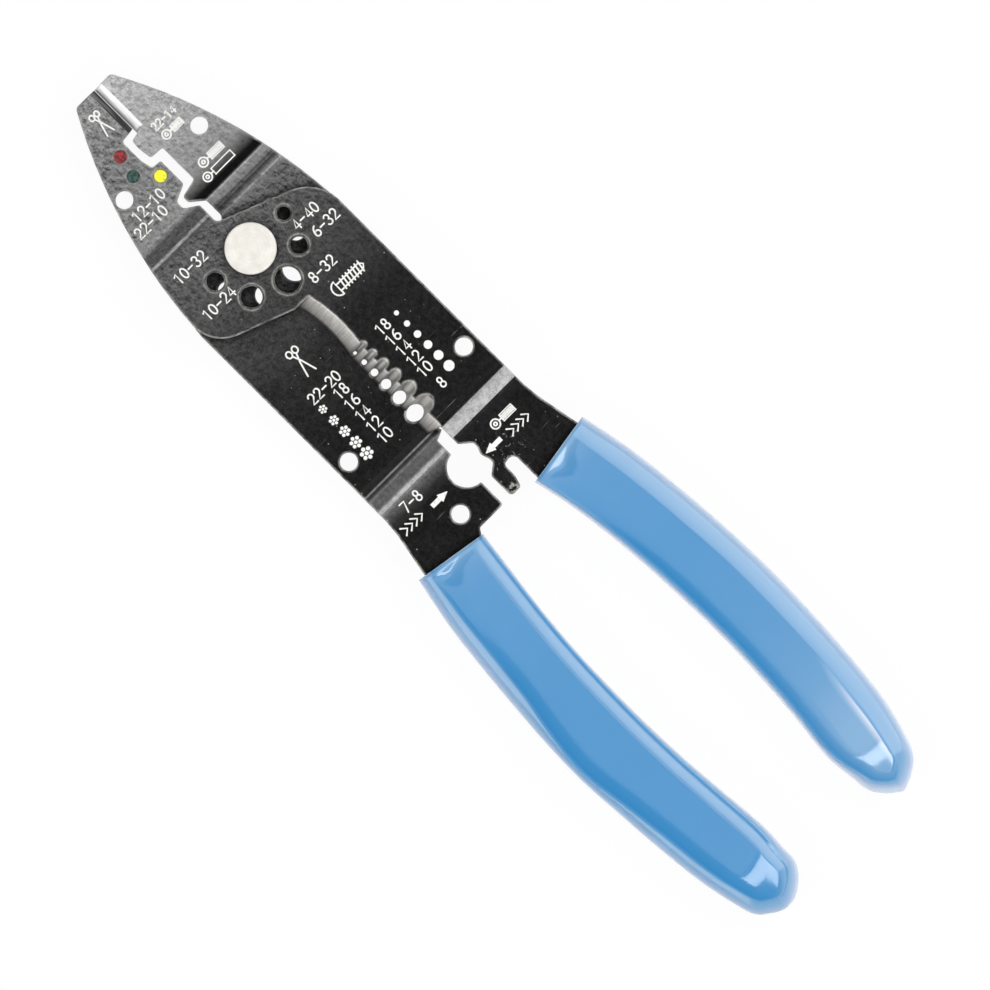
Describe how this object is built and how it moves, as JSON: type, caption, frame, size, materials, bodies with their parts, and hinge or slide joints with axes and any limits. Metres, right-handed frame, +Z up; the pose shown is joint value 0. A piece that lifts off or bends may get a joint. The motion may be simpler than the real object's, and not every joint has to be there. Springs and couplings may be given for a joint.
{
  "type": "wire stripper",
  "caption": "Pliers-like wire stripper: two joggled steel levers crossing at a flat rivet, crimp nests, stripping notches, screw-shear bores and dipped vinyl grips.",
  "frame": {"origin": "on the pivot axis, in the plane that the tool rests on: the flat end of the rivet's lower head", "axes": "+X along the closed tool towards the nose, +Y across it towards the back lever's handle, +Z up through the rivet to the front lever"},
  "size_m": [0.21, 0.056, 0.0077],
  "materials": {
    "coated_steel_back": "black phosphate coat, satin",
    "coated_steel_front": "black phosphate coat, satin",
    "bright_rivet": "satin",
    "blue_vinyl": "gloss, dipped",
    "red_enamel": "gloss",
    "green_enamel": "gloss",
    "white_print": "printed ink, satin",
    "yellow_enamel": "gloss"
  },
  "bodies": {
    "back_half": {"back_lever": "coated_steel_back", "back_grip": "blue_vinyl", "pivot_rivet": "bright_rivet"},
    "front_half": {"front_lever": "coated_steel_front", "front_grip": "blue_vinyl", "dot_red": "red_enamel", "dot_green": "green_enamel", "dot_yellow": "yellow_enamel"}
  },
  "joints": [
    {"name": "pivot", "type": "hinge", "parent": "back_half", "child": "front_half", "pos_m": [0, 0, 0.0038], "axis": [0, 0, 1], "range_deg": [0, 28]}
  ]
}
